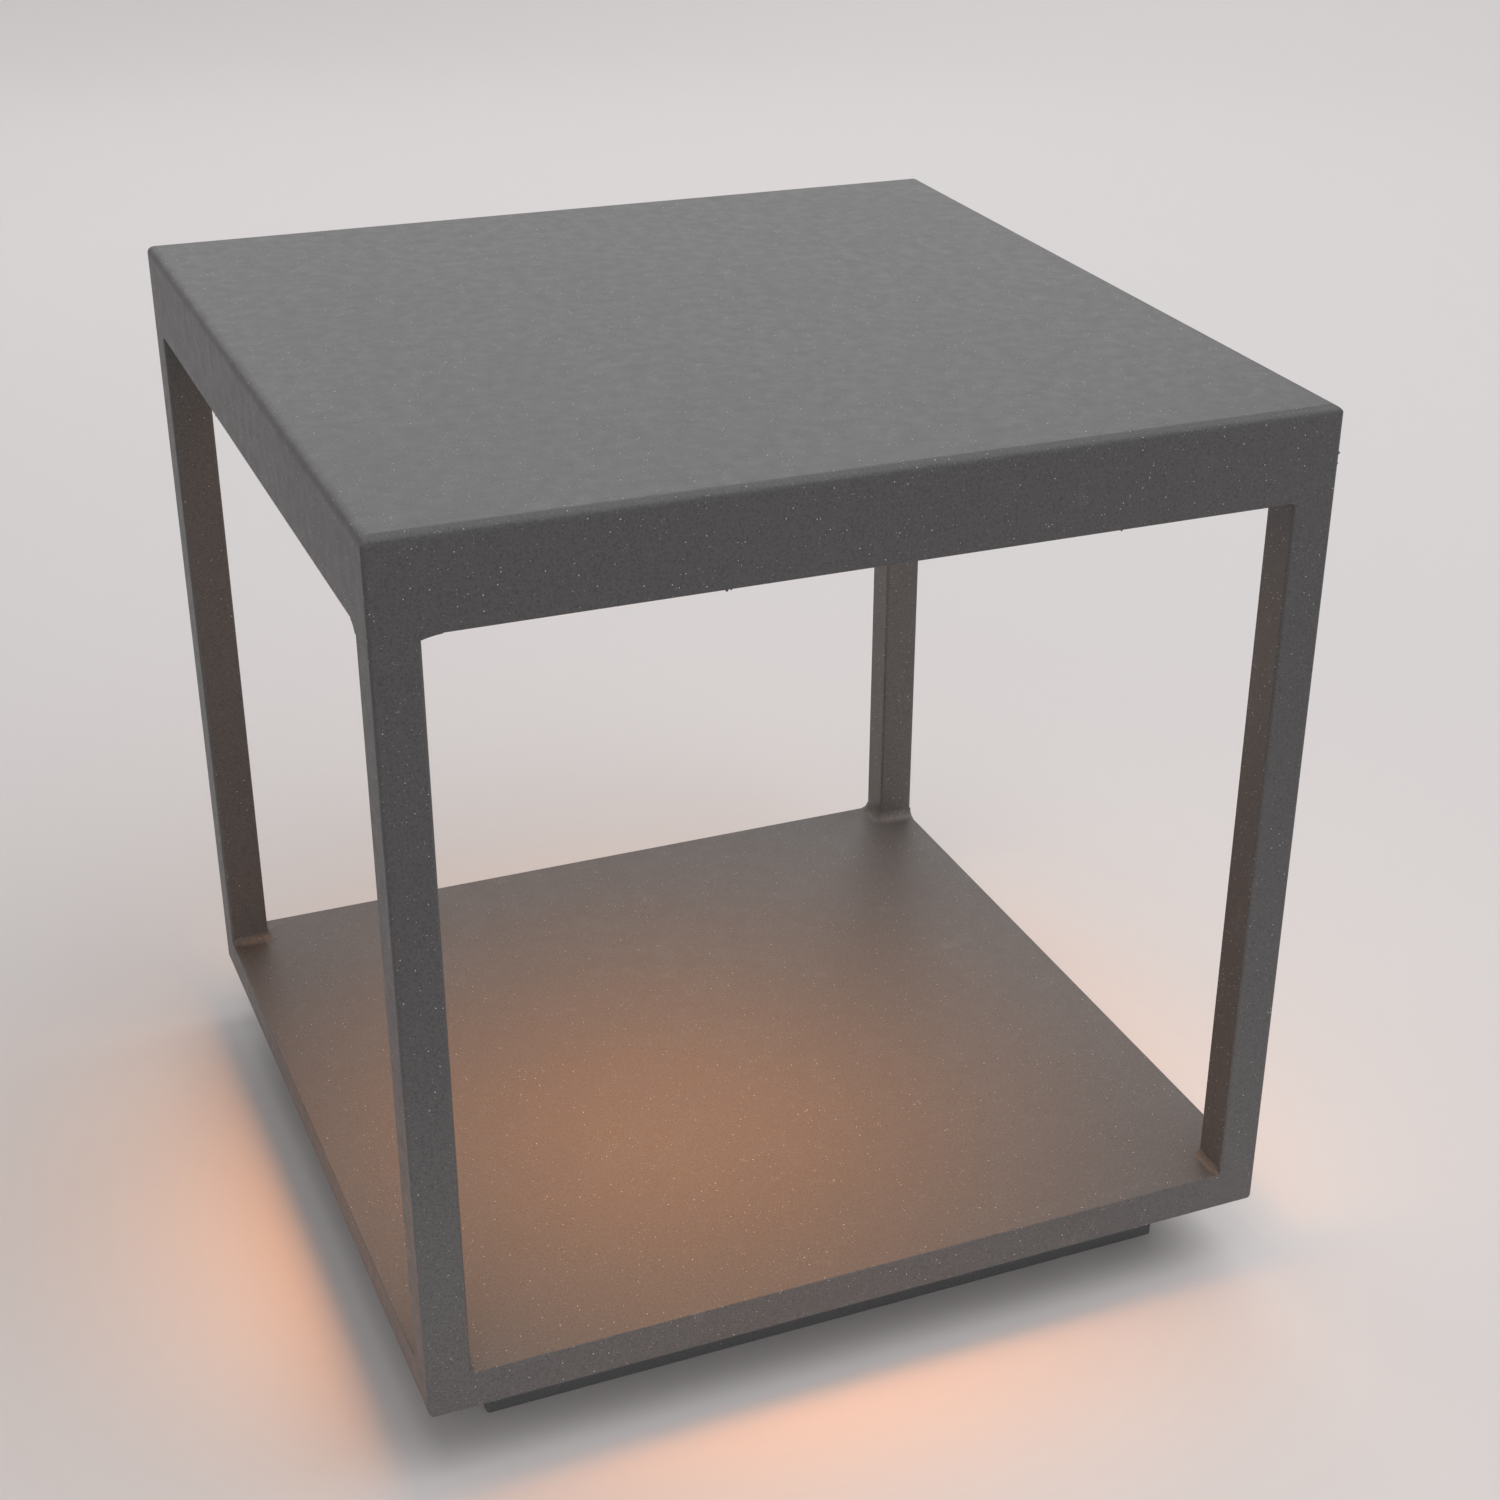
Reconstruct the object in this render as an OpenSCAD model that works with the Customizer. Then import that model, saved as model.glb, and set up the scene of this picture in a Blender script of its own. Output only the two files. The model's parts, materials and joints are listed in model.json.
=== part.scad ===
// Square open-frame pillar lantern.
// A hollow cap with a downward LED light stands on four square posts over a flat deck.
// The deck's plinth drops over a mounting plate, is held by set screws, and lifts off it.
// Millimetres, +Z up. The origin is the centre of the plinth's footprint, on the surface
// that the lantern stands on. The front looks along -Y.

/* [Body] */
// Outer width and depth of the cap and of the base
body_w = 250; // [240:1:300]
// Total height
body_h = 266; // [230:1:400]
// Side of the square tube of the posts
post_w = 12; // [12:0.5:16]
// Radius of the upright corners of cap, posts and base
corner_r = 0.9; // [0.6:0.1:1.2]
// Radius of the weld bead at each end of a post
bead_r = 2.4; // [1:0.1:2.5]

/* [Cap] */
// Height of the cap
cap_h = 24.5; // [24:0.5:40]
// Outer radius of the bend along the cap's top edges
cap_edge_r = 2.7; // [2:0.1:4]
// Number of LEDs along each side of the board
led_rows = 8; // [4:2:8]

/* [Base] */
// Height of the deck and its rails together
base_h = 11.5; // [11.5:0.5:16]
// Radius of the bends along the base's left and right bottom edges
rail_edge_r = 2.2; // [0.8:0.1:2.4]
// Height of the plinth
plinth_h = 22; // [22:0.5:30]
// How far the plinth stands back from the base's outer faces
plinth_inset = 20.5; // [16:0.5:20.5]
// Radius of the bends along the plinth's left and right bottom edges
plinth_edge_r = 1.4; // [0.6:0.1:1.6]

/* [Mounting] */
// Distance between the pillar bolts, both ways
bolt_spacing = 140; // [120:5:150]
// Diameter of the bolt holes
bolt_hole_d = 6.5; // [5.5:0.5:7]
// Diameter of the cable that the entry bushing takes
entry_d = 9; // [6:0.5:12]

/* [Hidden] */
$fn = 32;

coat = "#4b4c4d";
plinth_coat = "#3c3e3f";
bare_alu = "#b9bcc0";
zinc = "#a9adb0";
steel = "#8f9295";
brass_colour = "#b08d4a";
black_rubber = "#1d1d1e";
white_plastic = "#e9e7e2";
opal = "#fff1dc";

sheet_t = 1.5;           // sheet of cap, deck, panel and bracket
post_t = 1.5;            // wall of the post tube
rail_w = 10;             // width of the rail tube
rail_t = 1.2;            // wall of the rail tube
crisp_r = 0.4;           // radius of an edge that is only broken
tiny = 0.2;              // clearance between fixed parts
tap = 0.05;              // radial gap of a screw in its tapped hole
past = 1;                // how far a cutter runs past what it cuts

half = body_w / 2;
post_c = half - post_w / 2;
rail_h = base_h - sheet_t;
z_panel = plinth_h;                  // underside of the underside panel and rails
z_deck = plinth_h + rail_h;          // underside of the deck
z_deck_top = plinth_h + base_h;
z_cap = body_h - cap_h;              // underside of the cap
z_skin = body_h - sheet_t;           // underside of the cap's top skin
SIDES = [-1, 1];

// Light, hung from the cap's top skin
opening_w = body_w - 2 * (post_w + 3);
bezel_t = 2;
bezel_w = opening_w - 0.8;
bezel_in_w = bezel_w - 35;
standoff_r = 3.5;
standoff_c = bezel_w / 2 - 5;
standoff_ring = [for (x = [-1:1], y = [-1:1]) if (x != 0 || y != 0) [x * standoff_c, y * standoff_c]];
diffuser_w = 2 * (standoff_c - standoff_r - 0.6);
diffuser_t = 3;
gasket_t = 1;
plate_w = body_w - 60;
plate_t = 2;
boss_h = 2.5;
boss_c = plate_w / 2 - 7;
board_w = plate_w - 30;
board_t = 1.6;
chip_h = 0.8;
chip_pitch = 20;
z_plate = z_skin - boss_h - plate_t;
z_board = z_plate - board_t;
board_screw_c = 40;

// Plinth
plinth_w = body_w - 2 * plinth_inset;
skirt_t = 2;
skirt_flange = 12;
skirt_gasket_w = 1.4;
skirt_gasket_h = 4;
flange_screw_c = plinth_w / 2 - 7.5;
flange_screw_y = 30;
flange_ring = [for (a = SIDES, b = SIDES, turn = [0, 1])
    turn == 0 ? [a * flange_screw_c, b * flange_screw_y] : [a * flange_screw_y, b * flange_screw_c]];

// Mounting plate and the set screws that bear on its tabs
mount_t = 2;
mount_w = plinth_w - 8;
tab_face = plinth_w / 2 - 8.5;
tab_w = 20;
tab_h = 16;
tab_corner_r = 3;
tab_y = 55;
set_screw_z = 9;
set_screw_l = 8;
bushing_r = entry_d / 2 + 3.5;

// Driver, in a hat-section bracket under the underside panel
driver_l = 100;
driver_w = 40;
driver_h = 20;
driver_y = 37;
bracket_l = 130;
bracket_in_w = 44;
bracket_flange = 10;
bracket_drop = 14;
z_bracket = z_panel - bracket_drop;
z_driver = z_bracket + sheet_t;
panel_opening = [122, driver_w + 2];
bracket_screw_x = 45;
bracket_screw_y = bracket_in_w / 2 + sheet_t + 5;
foot_l = 7;
end_cap_t = 6;
driver_screw_x = driver_l / 2 + end_cap_t + 3.5;

// Terminal block, screwed up to the underside panel
block_size = [44, 20, 14];
block_y = -48;
block_screw_x = 18;
pole_pitch = 10;

// Cables: corner points of the routes, rounded by the bend radius
led_cable_r = 2;
led_bend_r = 8;
z_led_high = z_skin - 10.5;
z_led_low = z_panel + 4;
connector_x = 72;
connector_y = 60;
led_run_x = 82;
led_route = [
    [connector_x + 2, connector_y, z_led_high],
    [post_c, connector_y, z_led_high],
    [post_c, post_c, z_led_high],
    [post_c, post_c, z_led_low],
    [led_run_x, post_c, z_led_low],
    [led_run_x, driver_y, z_led_low],
    [driver_l / 2 + 2, driver_y, z_led_low]
];
lead_r = 2.5;
lead_bend_r = 20;
z_lead = z_panel - 5.5;
lead_route = [
    [-driver_l / 2 - 2, driver_y, z_lead],
    [-84, driver_y, z_lead],
    [-84, block_y, z_lead],
    [-block_size.x / 2, block_y, z_lead]
];
earth_r = 1.25;
stud = [26, -20];
earth_route = [
    [pole_pitch, block_y + block_size.y / 2, z_lead],
    [pole_pitch, stud.y, z_lead],
    [stud.x - 5, stud.y, z_lead]
];
clip_y = [60, 92];
cap_clip_y = 90;

// ---- shared shapes -------------------------------------------------------------------

// Square of side w with its corners rounded to r
module rounded_square(w, r) {
    square([w - 2 * r, w], center = true);
    square([w, w - 2 * r], center = true);
    for (x = SIDES, y = SIDES)
        translate([x * (w / 2 - r), y * (w / 2 - r)])
            circle(r);
}

// Upright profile, w wide and h high, with a bottom and a top edge radius
module edge_profile(w, h, r_bottom, r_top) {
    translate([-w / 2, r_bottom])
        square([w, h - r_bottom - r_top]);
    translate([r_bottom - w / 2, 0])
        square([w - 2 * r_bottom, h / 2]);
    translate([r_top - w / 2, h / 2])
        square([w - 2 * r_top, h / 2]);
    for (x = SIDES) {
        translate([x * (w / 2 - r_bottom), r_bottom])
            circle(r_bottom);
        translate([x * (w / 2 - r_top), h - r_top])
            circle(r_top);
    }
}

// Square block with small upright corners, standing on z = 0; r_top goes round all four top edges,
// r_bottom along the left and right ones below, where the front and back ones are crisp
module bent_block(w, h, r_bottom, r_top, r_corner) {
    intersection() {
        linear_extrude(h)
            rounded_square(w, r_corner);
        rotate([90, 0, 0])
            linear_extrude(w + 2 * past, center = true)
                edge_profile(w, h, r_bottom, r_top);
        rotate([90, 0, 90])
            linear_extrude(w + 2 * past, center = true)
                edge_profile(w, h, crisp_r, r_top);
    }
}

// Square frame from side w down to opening w_in, h high
module square_ring(w, w_in, h) {
    difference() {
        translate([0, 0, h / 2])
            cube([w, w, h], center = true);
        translate([0, 0, h / 2])
            cube([w_in, w_in, h + 2 * past], center = true);
    }
}

// Child copied into all four corners by mirroring
module four_corners() {
    for (x = [0, 1], y = [0, 1])
        mirror([x, 0, 0])
            mirror([0, y, 0])
                children();
}

// Child copied to each plan position in a list
module at_each(places) {
    for (p = places)
        translate([p.x, p.y, 0])
            children();
}

// Pan-head socket screw: shank below z = 0, head above it
module pan_screw(d, l) {
    difference() {
        union() {
            translate([0, 0, -l])
                cylinder(h = l, d = d);
            cylinder(h = 0.45 * d, r = 0.95 * d);
            translate([0, 0, 0.45 * d])
                cylinder(h = 0.15 * d, r1 = 0.95 * d, r2 = 0.75 * d);
        }
        translate([0, 0, 0.25 * d])
            cylinder(h = d, d = 0.62 * d, $fn = 6);
    }
}

// Countersunk socket screw: top of the head at z = 0, pointing down
module countersunk_screw(d, l) {
    difference() {
        union() {
            translate([0, 0, -l])
                cylinder(h = l, d = d);
            translate([0, 0, -d / 2])
                cylinder(h = d / 2, r1 = d / 2, r2 = d);
        }
        translate([0, 0, -0.35 * d])
            cylinder(h = d, d = 0.62 * d, $fn = 6);
    }
}

// Hexagon nut standing on z = 0
module hex_nut(d, across, h) {
    difference() {
        cylinder(h = h, d = across / cos(30), $fn = 6);
        translate([0, 0, -past])
            cylinder(h = h + 2 * past, d = d + 2 * tap);
    }
}

// Round nut pressed into sheet, standing on z = 0
module press_nut(d, h) {
    difference() {
        cylinder(h = h, r = d);
        translate([0, 0, -past])
            cylinder(h = h + 2 * past, d = d + 2 * tap);
    }
}

// Child moved to a point, with its own axes turned to x, y and z
module placed(at, x, y, z) {
    multmatrix([
        [x.x, y.x, z.x, at.x],
        [x.y, y.y, z.y, at.y],
        [x.z, y.z, z.z, at.z],
        [0, 0, 0, 1]
    ])
        children();
}

// Round rod from a to b, which differ along one axis only
module rod(a, b, r) {
    along = (b - a) / norm(b - a);
    side = abs(along.z) > 0.5 ? [1, 0, 0] : [0, 0, 1];
    placed(a, side, cross(along, side), along)
        cylinder(h = norm(b - a), r = r);
}

// Cable along square corners, each rounded to bend_r
module cable_run(points, r, bend_r) {
    last = len(points) - 1;
    for (i = [1 : last]) {
        along = (points[i] - points[i - 1]) / norm(points[i] - points[i - 1]);
        start = i == 1 ? points[0] : points[i - 1] + along * bend_r;
        end = i == last ? points[last] : points[i] - along * bend_r;
        rod(start, end, r);
    }
    for (i = [1 : last - 1]) {
        into = (points[i] - points[i - 1]) / norm(points[i] - points[i - 1]);
        out = (points[i + 1] - points[i]) / norm(points[i + 1] - points[i]);
        placed(points[i] + (out - into) * bend_r, -out, into, cross(into, out))
            rotate_extrude(angle = 90)
                translate([bend_r, 0])
                    circle(r);
    }
}

// ---- cap, posts and base ---------------------------------------------------------------

// Folded tray with a return flange that the posts are welded to
module cap() {
    color(coat)
        difference() {
            translate([0, 0, z_cap])
                bent_block(body_w, cap_h, crisp_r, cap_edge_r, corner_r);
            translate([0, 0, z_cap + sheet_t])
                bent_block(body_w - 2 * sheet_t, cap_h - 2 * sheet_t, crisp_r,
                    cap_edge_r - sheet_t, crisp_r);
            translate([0, 0, z_cap])
                cube([opening_w, opening_w, 4 * sheet_t], center = true);
            translate([post_c, post_c, z_cap - past])
                cylinder(h = sheet_t + 2 * past, r = 3.5);
        }
}

// Square tube between deck and cap, in the corner with the signs x and y
module post(x, y) {
    color(coat)
        translate([x * post_c, y * post_c, z_deck_top])
            linear_extrude(z_cap - z_deck_top)
                difference() {
                    rounded_square(post_w, corner_r);
                    rounded_square(post_w - 2 * post_t, crisp_r);
                }
}

// Outer form shared by the deck and the rails
module base_form() {
    translate([0, 0, z_panel])
        bent_block(body_w, base_h, rail_edge_r, crisp_r, corner_r);
}

// Hole that the LED cable comes down through, under the back right post
module deck_cable_hole() {
    translate([post_c, post_c, z_deck - rail_t - past])
        cylinder(h = rail_t + sheet_t + 2 * past, r = 4);
}

module base_deck() {
    color(coat)
        difference() {
            intersection() {
                base_form();
                translate([-body_w, -body_w, z_deck])
                    cube([2 * body_w, 2 * body_w, base_h]);
            }
            deck_cable_hole();
        }
}

// Mitred strip of the -Y side, between two distances from the middle
module mitred_strip(outer, inner, z, h) {
    translate([0, 0, z])
        linear_extrude(h)
            polygon([[-outer, -outer], [outer, -outer], [inner, -inner], [-inner, -inner]]);
}

// Slot in the back rail's inner wall, where the LED cable leaves the tube
module rail_cable_slot() {
    translate([led_run_x - 5, half - rail_w - past, z_led_low - 3])
        cube([13, rail_t + 2 * past, 6]);
}

// Mitred square tube under the deck; turn 0 is the front one
module rail(turn) {
    color(coat)
        difference() {
            intersection() {
                base_form();
                rotate([0, 0, turn])
                    mitred_strip(half, half - rail_w, z_panel, rail_h);
            }
            rotate([0, 0, turn])
                mitred_strip(half - rail_t, half - rail_w + rail_t, z_panel + rail_t,
                    rail_h - 2 * rail_t);
            deck_cable_hole();
            rail_cable_slot();
        }
}

// Closes the rail frame from below; the driver reaches up through its opening
module underside_panel() {
    color(plinth_coat)
        difference() {
            translate([0, 0, z_panel + sheet_t / 2])
                cube([body_w - 2 * rail_w - 2 * tiny, body_w - 2 * rail_w - 2 * tiny, sheet_t],
                    center = true);
            translate([0, driver_y, z_panel])
                cube([panel_opening.x, panel_opening.y, 4 * sheet_t], center = true);
            translate([0, 0, z_panel - past]) {
                at_each(flange_ring)
                    cylinder(h = sheet_t + 2 * past, d = 4.4);
                at_each(bracket_screw_ring())
                    cylinder(h = sheet_t + 2 * past, d = 4.4);
                at_each(block_screw_pair())
                    cylinder(h = sheet_t + 2 * past, d = 3.4);
            }
        }
}

// Section of a weld bead: x leads away from the post and y away from the sheet
module bead_section() {
    difference() {
        square(bead_r);
        translate([bead_r, bead_r])
            circle(bead_r);
    }
}

// Bead round the two inner faces of the post in the +X +Y corner
module corner_bead() {
    inner = half - post_w;
    run = post_w - corner_r - crisp_r;
    for (swap = [0, 1])
        mirror([swap, -swap, 0])
            translate([inner, inner + corner_r, 0])
                rotate([90, 0, 180])
                    linear_extrude(run)
                        bead_section();
    translate([inner + corner_r, inner + corner_r, 0])
        rotate([0, 0, 180])
            rotate_extrude(angle = 90)
                translate([corner_r, 0])
                    bead_section();
}

module lower_welds() {
    color(coat)
        translate([0, 0, z_deck_top])
            four_corners()
                corner_bead();
}

module upper_welds() {
    color(coat)
        translate([0, 0, z_cap])
            mirror([0, 0, 1])
                four_corners()
                    corner_bead();
}

// ---- plinth and mounting -----------------------------------------------------------------

// Positions of the four bracket screws and of the two block screws, in plan
function bracket_screw_ring() = [for (x = SIDES, y = SIDES)
    [x * bracket_screw_x, driver_y + y * bracket_screw_y]];
function block_screw_pair() = [for (x = SIDES) [x * block_screw_x, block_y]];

// Set-screw positions: one at each tab, as the sign of x and the sign of y
module at_set_screws() {
    for (x = SIDES, y = SIDES)
        translate([0, y * tab_y, set_screw_z])
            mirror([x < 0 ? 1 : 0, 0, 0])
                children();
}

module plinth_skirt() {
    inner_w = plinth_w - 2 * skirt_t;
    inner_h = plinth_h - skirt_t;
    color(plinth_coat)
        difference() {
            bent_block(plinth_w, plinth_h, plinth_edge_r, crisp_r, corner_r);
            translate([0, 0, (inner_h - past) / 2])
                cube([inner_w, inner_w, inner_h + past], center = true);
            translate([0, 0, z_panel])
                cube([inner_w - 2 * skirt_flange, inner_w - 2 * skirt_flange, 4 * skirt_t],
                    center = true);
            translate([0, 0, z_panel - skirt_t - past])
                at_each(flange_ring)
                    cylinder(h = skirt_t + 2 * past, d = 4.4);
            at_set_screws()
                translate([plinth_w / 2 - skirt_t - past, 0, 0])
                    rotate([0, 90, 0])
                        cylinder(h = skirt_t + 2 * past, d = 5 + 2 * tap);
        }
}

// Soft sealing strip bonded inside the skirt's lower edge
module plinth_gasket() {
    inner_w = plinth_w - 2 * skirt_t;
    color(black_rubber)
        square_ring(inner_w, inner_w - 2 * skirt_gasket_w, skirt_gasket_h);
}

module skirt_screws() {
    color(steel)
        at_each(flange_ring)
            translate([0, 0, z_panel - skirt_t])
                mirror([0, 0, 1])
                    pan_screw(4, 6);
}

// Nuts on the inside of the underside panel
module clinch_nuts() {
    color(zinc)
        translate([0, 0, z_panel + sheet_t]) {
            at_each(concat(flange_ring, bracket_screw_ring()))
                press_nut(4, 3);
            at_each(block_screw_pair())
                press_nut(3, 2.5);
        }
}

// Cup-point screws that bear on the mounting plate's tabs
module set_screws() {
    color(steel)
        at_set_screws()
            translate([tab_face + 0.1, 0, 0])
                rotate([0, 90, 0])
                    difference() {
                        union() {
                            cylinder(h = 0.8, r1 = 1.6, r2 = 2.5);
                            translate([0, 0, 0.8])
                                cylinder(h = set_screw_l - 0.8, d = 5);
                        }
                        translate([0, 0, set_screw_l - 2.5])
                            cylinder(h = 3, d = 2.9, $fn = 6);
                    }
}

module weld_nuts() {
    color(zinc)
        at_set_screws()
            translate([plinth_w / 2 - skirt_t - 4, 0, 0])
                rotate([0, 90, 0])
                    hex_nut(5, 8, 4);
}

// Plate that is bolted to the pillar
module mounting_plate() {
    color(zinc)
        difference() {
            linear_extrude(mount_t)
                rounded_square(mount_w, 3);
            for (x = SIDES, y = SIDES)
                translate([x * bolt_spacing / 2, y * bolt_spacing / 2, -past])
                    cylinder(h = mount_t + 2 * past, d = bolt_hole_d);
            translate([0, 0, -past])
                cylinder(h = mount_t + 2 * past, r = bushing_r + tap);
        }
}

// Upright tabs welded to the mounting plate, which the set screws bear on
module plate_tabs() {
    color(zinc)
        for (x = SIDES, y = SIDES)
            translate([x * (tab_face - mount_t / 2), y * tab_y, mount_t])
                rotate([90, 0, 90])
                    linear_extrude(mount_t, center = true)
                        tab_outline();
}

// Tab seen from the side: broken lower edges and round upper corners
module tab_outline() {
    edge_profile(tab_w, tab_h - mount_t, crisp_r, tab_corner_r);
}

// Snap bushing that the supply cable comes up through
module entry_bushing() {
    color(black_rubber)
        difference() {
            union() {
                cylinder(h = mount_t, r = bushing_r);
                translate([0, 0, mount_t])
                    cylinder(h = 1.4, r = bushing_r + 2);
                translate([0, 0, mount_t + 1.4])
                    cylinder(h = 0.6, r1 = bushing_r + 2, r2 = bushing_r + 1.4);
            }
            translate([0, 0, -past])
                cylinder(h = mount_t + 2 + 2 * past, d = entry_d);
        }
}

// ---- light --------------------------------------------------------------------------------

module heat_plate() {
    color(bare_alu)
        difference() {
            translate([0, 0, z_plate + plate_t / 2])
                cube([plate_w, plate_w, plate_t], center = true);
            four_corners()
                translate([boss_c, boss_c, z_plate - past])
                    cylinder(h = plate_t + 2 * past, d = 4.4);
            four_corners()
                translate([board_screw_c, board_screw_c, z_plate - past])
                    cylinder(h = plate_t + 2 * past, d = 3 + 2 * tap);
        }
}

module plate_bosses() {
    color(bare_alu)
        four_corners()
            translate([boss_c, boss_c, z_plate + plate_t])
                difference() {
                    cylinder(h = boss_h, r = 5);
                    translate([0, 0, -past])
                        cylinder(h = boss_h + past - 0.3, d = 4 + 2 * tap);
                }
}

module plate_screws() {
    color(steel)
        four_corners()
            translate([boss_c, boss_c, z_plate])
                mirror([0, 0, 1])
                    pan_screw(4, plate_t + boss_h - 0.5);
}

module led_board() {
    color(white_plastic)
        difference() {
            translate([0, 0, z_board + board_t / 2])
                cube([board_w, board_w, board_t], center = true);
            four_corners()
                translate([board_screw_c, board_screw_c, z_board - past])
                    cylinder(h = board_t + 2 * past, d = 3.3);
        }
}

// Surface-mount LEDs in a square grid, each with a round phosphor window
module led_chips() {
    color("#e8d27a")
        for (i = [0 : led_rows - 1], j = [0 : led_rows - 1])
            translate([(i - (led_rows - 1) / 2) * chip_pitch, (j - (led_rows - 1) / 2) * chip_pitch,
                z_board - chip_h])
                difference() {
                    translate([0, 0, chip_h / 2])
                        cube([3.5, 2.8, chip_h], center = true);
                    translate([0, 0, -past])
                        cylinder(h = past + 0.2, r = 1.1);
                }
}

module board_screws() {
    color(steel)
        four_corners()
            translate([board_screw_c, board_screw_c, z_board])
                mirror([0, 0, 1])
                    pan_screw(3, board_t + plate_t - 0.2);
}

// Plug-in connector that the LED cable ends in
module board_connector() {
    color(white_plastic)
        difference() {
            translate([connector_x, connector_y, z_board - 3.5])
                cube([12, 12, 7], center = true);
            rod(led_route[0], led_route[0] + [5, 0, 0], led_cable_r + tap);
        }
}

// Square frame flush with the cap's underside, which carries the diffuser
module bezel_frame() {
    color(coat)
        difference() {
            translate([0, 0, z_cap])
                square_ring(bezel_w, bezel_in_w, bezel_t);
            translate([0, 0, z_cap - tap])
                at_each(standoff_ring)
                    cylinder(h = bezel_t + 2 * tap, r1 = 4.2, r2 = 2.15);
        }
}

module bezel_standoffs() {
    color(bare_alu)
        translate([0, 0, z_cap + bezel_t])
            at_each(standoff_ring)
                difference() {
                    cylinder(h = z_skin - z_cap - bezel_t, r = standoff_r);
                    translate([0, 0, -past])
                        cylinder(h = 10 + past, d = 4 + 2 * tap);
                }
}

module bezel_screws() {
    color(steel)
        translate([0, 0, z_cap])
            mirror([0, 0, 1])
                at_each(standoff_ring)
                    countersunk_screw(4, 10);
}

module diffuser() {
    color(opal)
        translate([0, 0, z_cap + bezel_t + gasket_t])
            linear_extrude(diffuser_t)
                rounded_square(diffuser_w, 2);
}

module diffuser_gasket() {
    color(white_plastic)
        translate([0, 0, z_cap + bezel_t])
            square_ring(diffuser_w, diffuser_w - 14, gasket_t);
}

// ---- driver, terminals and cables ---------------------------------------------------------

// Hat-section cradle hung under the panel's opening
module driver_bracket() {
    outer_w = bracket_in_w + 2 * sheet_t;
    color(zinc)
        translate([0, driver_y, 0])
            difference() {
                union() {
                    translate([0, 0, z_panel - bracket_drop / 2])
                        cube([bracket_l, outer_w, bracket_drop], center = true);
                    translate([0, 0, z_panel - sheet_t / 2])
                        cube([bracket_l, outer_w + 2 * bracket_flange, sheet_t], center = true);
                }
                translate([0, 0, z_driver + bracket_drop / 2])
                    cube([bracket_l + 2 * past, bracket_in_w, bracket_drop], center = true);
                for (x = SIDES, y = SIDES)
                    translate([x * bracket_screw_x, y * bracket_screw_y, z_panel - sheet_t - past])
                        cylinder(h = sheet_t + 2 * past, d = 4.4);
                for (x = SIDES)
                    translate([x * driver_screw_x, 0, z_bracket - past])
                        cylinder(h = sheet_t + 2 * past, d = 3.5 + 2 * tap);
            }
}

module bracket_screws() {
    color(steel)
        at_each(bracket_screw_ring())
            translate([0, 0, z_panel - sheet_t])
                mirror([0, 0, 1])
                    pan_screw(4, 6);
}

// Extruded driver housing with rounded long edges
module driver_case() {
    edge = 2;
    color(white_plastic)
        translate([-driver_l / 2, driver_y, z_driver])
            rotate([90, 0, 90])
                linear_extrude(driver_l)
                    edge_profile(driver_w, driver_h, edge, edge);
}

// End cap with a screw foot and a cable nozzle at the height z; side is the sign of x
module driver_end_cap(side, z, r) {
    nozzle_l = 4;
    mirror([side < 0 ? 1 : 0, 0, 0])
        difference() {
            union() {
                translate([driver_l / 2, driver_y, z_driver])
                    rotate([90, 0, 90])
                        linear_extrude(end_cap_t)
                            edge_profile(driver_w, driver_h, 2, 2);
                translate([driver_l / 2 + end_cap_t - 1, driver_y - 8, z_driver])
                    cube([foot_l + 1, 16, 2]);
                rod([driver_l / 2 + end_cap_t - 1, driver_y, z],
                    [driver_l / 2 + end_cap_t + nozzle_l, driver_y, z], r + 1.2);
            }
            rod([driver_l / 2 + 2, driver_y, z],
                [driver_l / 2 + end_cap_t + nozzle_l + past, driver_y, z], r + tap);
            translate([driver_screw_x, driver_y, z_driver - past])
                cylinder(h = 2 + 2 * past, d = 3.8);
        }
}

module driver_end_caps() {
    color("#2b2c2e") {
        driver_end_cap(1, z_led_low, led_cable_r);
        driver_end_cap(-1, z_lead, lead_r);
    }
}

module driver_screws() {
    color(steel)
        for (x = SIDES)
            translate([x * driver_screw_x, driver_y, z_driver + 2])
                foot_screw();
}

// Low-head screw of the driver's feet, short enough to clear the nozzle above it
module foot_screw() {
    difference() {
        union() {
            translate([0, 0, -3.3])
                cylinder(h = 3.3, d = 3.5);
            cylinder(h = 1, r = 2.8);
        }
        translate([0, 0, 0.4])
            cylinder(h = 1, d = 2, $fn = 6);
    }
}

// Three-pole block with wire bores along Y and screw wells from below
module terminal_block() {
    z_block = z_panel - block_size.z;
    color(white_plastic)
        difference() {
            translate([0, block_y, z_block + block_size.z / 2])
                cube(block_size, center = true);
            for (pole = [-1:1])
                rod([pole * pole_pitch, block_y - block_size.y / 2 - past, z_lead],
                    [pole * pole_pitch, block_y + block_size.y / 2 + past, z_lead], 1.6);
            for (pole = [-1:1], y = SIDES)
                translate([pole * pole_pitch, block_y + 5 * y, z_block - past])
                    cylinder(h = 5 + past, r = 2);
            at_each(block_screw_pair())
                translate([0, 0, z_block - past])
                    cylinder(h = block_size.z + 2 * past, d = 3.4);
            for (gap = SIDES)
                translate([gap * pole_pitch / 2, block_y, z_block])
                    cube([1, block_size.y + 2 * past, 4], center = true);
        }
}

module terminal_screws() {
    z_screw = z_panel - block_size.z + 1;
    color(brass_colour)
        for (pole = [-1:1], y = SIDES)
            translate([pole * pole_pitch, block_y + 5 * y, z_screw])
                difference() {
                    cylinder(h = 4, r = 2 - tap);
                    cube([5, 0.6, 1.4], center = true);
                }
}

module block_screws() {
    color(steel)
        at_each(block_screw_pair())
            translate([0, 0, z_panel - block_size.z])
                mirror([0, 0, 1])
                    pan_screw(3, block_size.z + sheet_t + 2);
}

module led_cable() {
    color(white_plastic)
        cable_run(led_route, led_cable_r, led_bend_r);
}

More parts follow.
